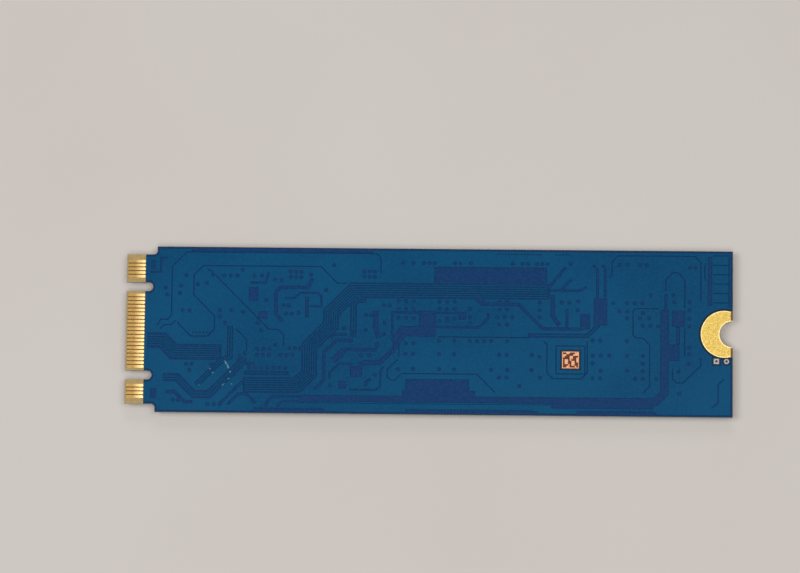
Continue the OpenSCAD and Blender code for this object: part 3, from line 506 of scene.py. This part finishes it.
# Moulded inductors
# Coils pressed into blocks of grey iron powder.
# A bent tin plate at each end is soldered to the board.
def pressed_powder():
    material, tree, shader = finish("pressed_powder", 0.15, 0.62, 0.4)
    powder = grain(tree, 0.045, 4.0)
    grains = spread(tree, powder, 0.35, 0.65)
    colour = blend_colours(tree, grains, srgb(74, 74, 78), srgb(112, 112, 116))
    tree.links.new(colour, shader.inputs["Base Color"])
    relief(tree, shader, powder, 0.01, 0.05)
    return material


dress("inductors", pressed_powder())
dress("inductor_terminals", dipped_tin)


# Crystal
# Dark ceramic dish with the quartz sealed inside.
# Its bright metal lid is seam-welded around the rim.
def fired_ceramic(name, light, dark, size_mm):
    material, tree, shader = finish(name, 0.0, 0.55, 0.4)
    cloud = grain(tree, size_mm, 3.0)
    colour = blend_colours(tree, spread(tree, cloud, 0.35, 0.65), dark, light)
    tree.links.new(colour, shader.inputs["Base Color"])
    relief(tree, shader, cloud, 0.003, 0.03)
    return material


def rounded_rectangle(centre, half, corner, z, steps=5):
    """Points around a rectangle with round corners, at height z."""
    ring = []
    for quarter in range(4):
        sx, sy = ((1, 1), (-1, 1), (-1, -1), (1, -1))[quarter]
        for step in range(steps + 1):
            angle = math.pi / 2 * (quarter + step / steps)
            ring.append((centre[0] + sx * (half[0] - corner) + corner * math.cos(angle),
                         centre[1] + sy * (half[1] - corner) + corner * math.sin(angle), z))
    return ring


def drawn_lid():
    material, tree, shader = finish("drawn_lid", 1.0, 0.3)
    lines = grain(tree, 0.08, 2.0, (0.08, 1, 1))
    colour = blend_colours(tree, lines, srgb(170, 170, 166), srgb(214, 212, 206))
    tree.links.new(colour, shader.inputs["Base Color"])
    relief(tree, shader, lines, 0.002)
    return material


def welded_lid():
    low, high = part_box("crystal_lid")
    centre, half = (low + high) / 2, (high - low) / 2
    rim, corner, flange = 0.22 * MM, 0.3 * MM, 0.09 * MM
    levels = ((0.0, high.z), (0.0, high.z - flange), (rim * 0.5, high.z - flange * 1.15),
              (rim, high.z - flange * 1.8), (rim, low.z + 0.03 * MM), (rim + 0.03 * MM, low.z))
    rings = [rounded_rectangle(centre, (half.x - inset, half.y - inset), corner, z) for inset, z in levels]
    return stacked_rings(rings[::-1])


dress("crystal_base", fired_ceramic("crystal_ceramic", srgb(92, 84, 76), srgb(70, 64, 60), 0.1))
lid = join_mesh("crystal_lid_welded", *welded_lid(), drawn_lid(), smooth=False)
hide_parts("crystal_lid")
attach(lid, "root")


# Capacitors and resistors
# Fired ceramic blocks with metal caps dipped on both ends. A capacitor is tan all through,
# and a resistor is white ceramic with black glass on its top, which faces down here.
def soft_block(centre, half, corner):
    """A block whose edges and corners are rounded."""
    shape = bmesh.new()
    bmesh.ops.create_cube(shape, size=2.0)
    for vert in shape.verts:
        vert.co = Vector([vert.co[i] * half[i] for i in range(3)])
    bmesh.ops.bevel(shape, geom=list(shape.edges), offset=corner, segments=3, profile=0.5, affect="EDGES")
    bmesh.ops.translate(shape, verts=list(shape.verts), vec=Vector(centre))
    shape.verts.index_update()
    skin = [tuple(v.co) for v in shape.verts], [tuple(v.index for v in face.verts) for face in shape.faces]
    shape.free()
    return skin


def printed_resistor():
    material, tree, shader = finish("resistor_ceramic", 0.0, 0.4, 0.5)
    glass_t = 0.05 * MM
    glass_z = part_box("resistors")[0].z + glass_t
    is_glass = reckon(tree, "LESS_THAN", along(tree, "Z"), glass_z)
    cloud = spread(tree, grain(tree, 0.1), 0.3, 0.7)
    white = blend_colours(tree, cloud, srgb(226, 222, 214), srgb(206, 202, 194))
    black = blend_colours(tree, cloud, srgb(20, 20, 22), srgb(34, 34, 36))
    tree.links.new(blend_colours(tree, is_glass, white, black), shader.inputs["Base Color"])
    relief(tree, shader, grain(tree, 0.05), 0.002)
    return material


def soft_blocks(node, name, material, corner_mm, slimmer_mm=0.0):
    """Rounded blocks that stand for the boxes of a CAD node. A block that is slimmer across by
    slimmer_mm reaches a little into the cap at each end."""
    into_cap = 0.03 * MM
    skins = []
    for centre, half in loose_boxes(node):
        slim = np.full(3, slimmer_mm * MM)
        if slimmer_mm:
            slim[np.argmax(half[:2])] = -into_cap
        skins.append(soft_block(centre, half - slim, corner_mm * MM))
    blocks = join_mesh(name, *gather(skins), material)
    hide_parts(node)
    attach(blocks, "root")


tan_ceramic = fired_ceramic("tan_ceramic", srgb(176, 146, 108), srgb(148, 118, 84), 0.08)
soft_blocks("small_capacitors", "small_capacitor_blocks", tan_ceramic, 0.03, 0.02)
soft_blocks("small_capacitor_caps", "small_capacitor_dipped_caps", dipped_tin, 0.05)
soft_blocks("large_capacitors", "large_capacitor_blocks", tan_ceramic, 0.05, 0.03)
soft_blocks("large_capacitor_caps", "large_capacitor_dipped_caps", dipped_tin, 0.09)
soft_blocks("resistors", "resistor_blocks", printed_resistor(), 0.02, 0.015)
soft_blocks("resistor_caps", "resistor_dipped_caps", dipped_tin, 0.04)


# Solder fillets
# Solder paste that melted under the caps and wetted their outer faces.
# It drew into hollow slopes, which hold the small parts to the board.
# How far out a slope reaches and how far up it is there, both as shares
FILLET_PROFILE = ((1.0, 0.0), (0.5, 0.16), (0.2, 0.42), (0.05, 1.0))


def fillet(centre, half, seat_z, reach, rise):
    rings = []
    for out, up in FILLET_PROFILE:
        grown = (half[0] + out * reach, half[1] + out * reach)
        rings.append(rounded_rectangle(centre, grown, 0.04 * MM + out * reach * 0.6, seat_z - up * rise, 3))
    return stacked_rings(rings[::-1])


def fillets():
    seat_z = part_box("front_solder_mask")[0].z
    reach = 0.085 * MM
    climb = 1.1
    skins = []
    for node in ("small_capacitor_caps", "large_capacitor_caps", "resistor_caps"):
        for centre, half in loose_boxes(node):
            skins.append(fillet(centre, half, seat_z, reach, climb * half[2]))
    return gather(skins)


solder = join_mesh("solder_fillets", *fillets(), reflowed_solder)
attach(solder, "root")


# Dried flux
# Thin pale films and specks of soldering flux on the mask near the connector.
# They were left behind when the drive was cleaned.
FILM_HEIGHT = 0.012 * MM
FILM_SIDES = 20
# Width of a film and its height there, both as shares
FILM_PROFILE = ((1.0, 0.0), (0.86, 0.6), (0.5, 0.92), (0.12, 1.0))


def dried_film(x, y, half_l, half_w, angle):
    """A low wavy-edged film at x, y in millimetres, turned by angle in degrees."""
    turn = math.radians(angle)
    rings = []
    for share, up in FILM_PROFILE:
        ring = []
        for i in range(FILM_SIDES):
            around = 2 * math.pi * i / FILM_SIDES
            wavy = share * (1 + 0.12 * math.sin(3 * around + 5 * x) + 0.08 * math.sin(5 * around + 9 * y))
            dx, dy = half_l * wavy * math.cos(around), half_w * wavy * math.sin(around)
            ring.append(((x + dx * math.cos(turn) - dy * math.sin(turn)) * MM,
                         (y + dx * math.sin(turn) + dy * math.cos(turn)) * MM,
                         mask_top + up * FILM_HEIGHT))
        rings.append(ring)
    return stacked_rings(rings)


def cloudy_film():
    material, tree, shader = finish("cloudy_film", 0.0, 0.5, 0.3)
    cloud = spread(tree, grain(tree, 0.15, 3.0), 0.3, 0.7)
    colour = blend_colours(tree, cloud, srgb(38, 98, 124), srgb(92, 142, 158))
    tree.links.new(colour, shader.inputs["Base Color"])
    relief(tree, shader, cloud, 0.004)
    return material


# Place, half length, half width and angle of each film
FILMS = ((-26.7, -4.4, 0.3, 0.13, -60), (-26.4, -4.9, 0.3, 0.14, -66), (-26.1, -5.6, 0.14, 0.11, 30),
         (-28.8, -5.2, 0.1, 0.08, 10), (-28.4, -5.75, 0.12, 0.09, 40), (-25.9, -7.2, 0.12, 0.08, 0),
         (-27.0, -7.3, 0.28, 0.06, 45), (-26.3, -6.5, 0.24, 0.05, 30), (-30.2, -7.4, 0.08, 0.06, 0))
films = join_mesh("dried_flux", *gather([dried_film(*film) for film in FILMS]), cloudy_film())
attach(films, "root")


# Table
# Pale matt painted table top that the drive lies on.
# It isn't part of the drive.
def table_paint():
    material, tree, shader = finish("table_paint", 0.0, 0.7, 0.2)
    cloud = spread(tree, grain(tree, 60.0, 2.0), 0.3, 0.7)
    colour = blend_colours(tree, cloud, srgb(206, 200, 195), srgb(203, 196, 190))
    tree.links.new(colour, shader.inputs["Base Color"])
    return material


TABLE_HALF = 3.0
table = join_mesh("table", [(-TABLE_HALF, -TABLE_HALF, 0), (TABLE_HALF, -TABLE_HALF, 0),
                            (TABLE_HALF, TABLE_HALF, 0), (-TABLE_HALF, TABLE_HALF, 0)],
                  [(0, 1, 2, 3)], table_paint(), smooth=False)


# Light
# A plain even room and four soft round lamps. The one on the connector's side throws the short soft
# shadow beyond the screw end. The far one stands low and is faint.
world = bpy.data.worlds.new("room")
bpy.context.scene.world = world
world.use_nodes = True
ROOM_LIGHT = 0.15
world.node_tree.nodes["Background"].inputs["Color"].default_value = srgb(255, 253, 250)
world.node_tree.nodes["Background"].inputs["Strength"].default_value = ROOM_LIGHT

LAMP_DISTANCE = 0.9
LAMP_WIDTH = 0.4
# Name, side it stands on and lean from upright in degrees, and power in watts
LAMPS = (("connector_lamp", 180, 24, 2.5), ("screw_end_lamp", 0, 16, 1.8),
         ("far_lamp", 90, 48, 0.8), ("near_lamp", 270, 15, 2.6))
for lamp_name, side, lean, watts in LAMPS:
    lamp_data = bpy.data.lights.new(lamp_name, "AREA")
    lamp_data.shape = "DISK"
    lamp_data.size = LAMP_WIDTH
    lamp_data.energy = watts
    turn, lean = math.radians(side), math.radians(lean)
    lamp_place = LAMP_DISTANCE * Vector((math.sin(lean) * math.cos(turn),
                                         math.sin(lean) * math.sin(turn), math.cos(lean)))
    lamp = bpy.data.objects.new(lamp_name, lamp_data)
    bpy.context.scene.collection.objects.link(lamp)
    lamp.location = lamp_place
    lamp.rotation_euler = (-lamp_place).to_track_quat("-Z", "Y").to_euler()


# Camera
# It looks almost straight down from half a metre, a little from the near long side.
# The lens is long, so the board's edges stay nearly parallel.
FOCAL_LENGTH = 180.0
camera_data = bpy.data.cameras.new("camera")
camera_data.sensor_width = 36.0
camera_data.lens = FOCAL_LENGTH
camera_data.clip_start = 0.01
camera = bpy.data.objects.new("camera", camera_data)
bpy.context.scene.collection.objects.link(camera)
camera.location = Vector((9.9, -64.0, 525.3)) * MM
camera.rotation_euler = Euler([math.radians(a) for a in (7.63, 1.41, 0.72)], "XYZ")
bpy.context.scene.camera = camera
bpy.context.scene.view_settings.view_transform = "Standard"
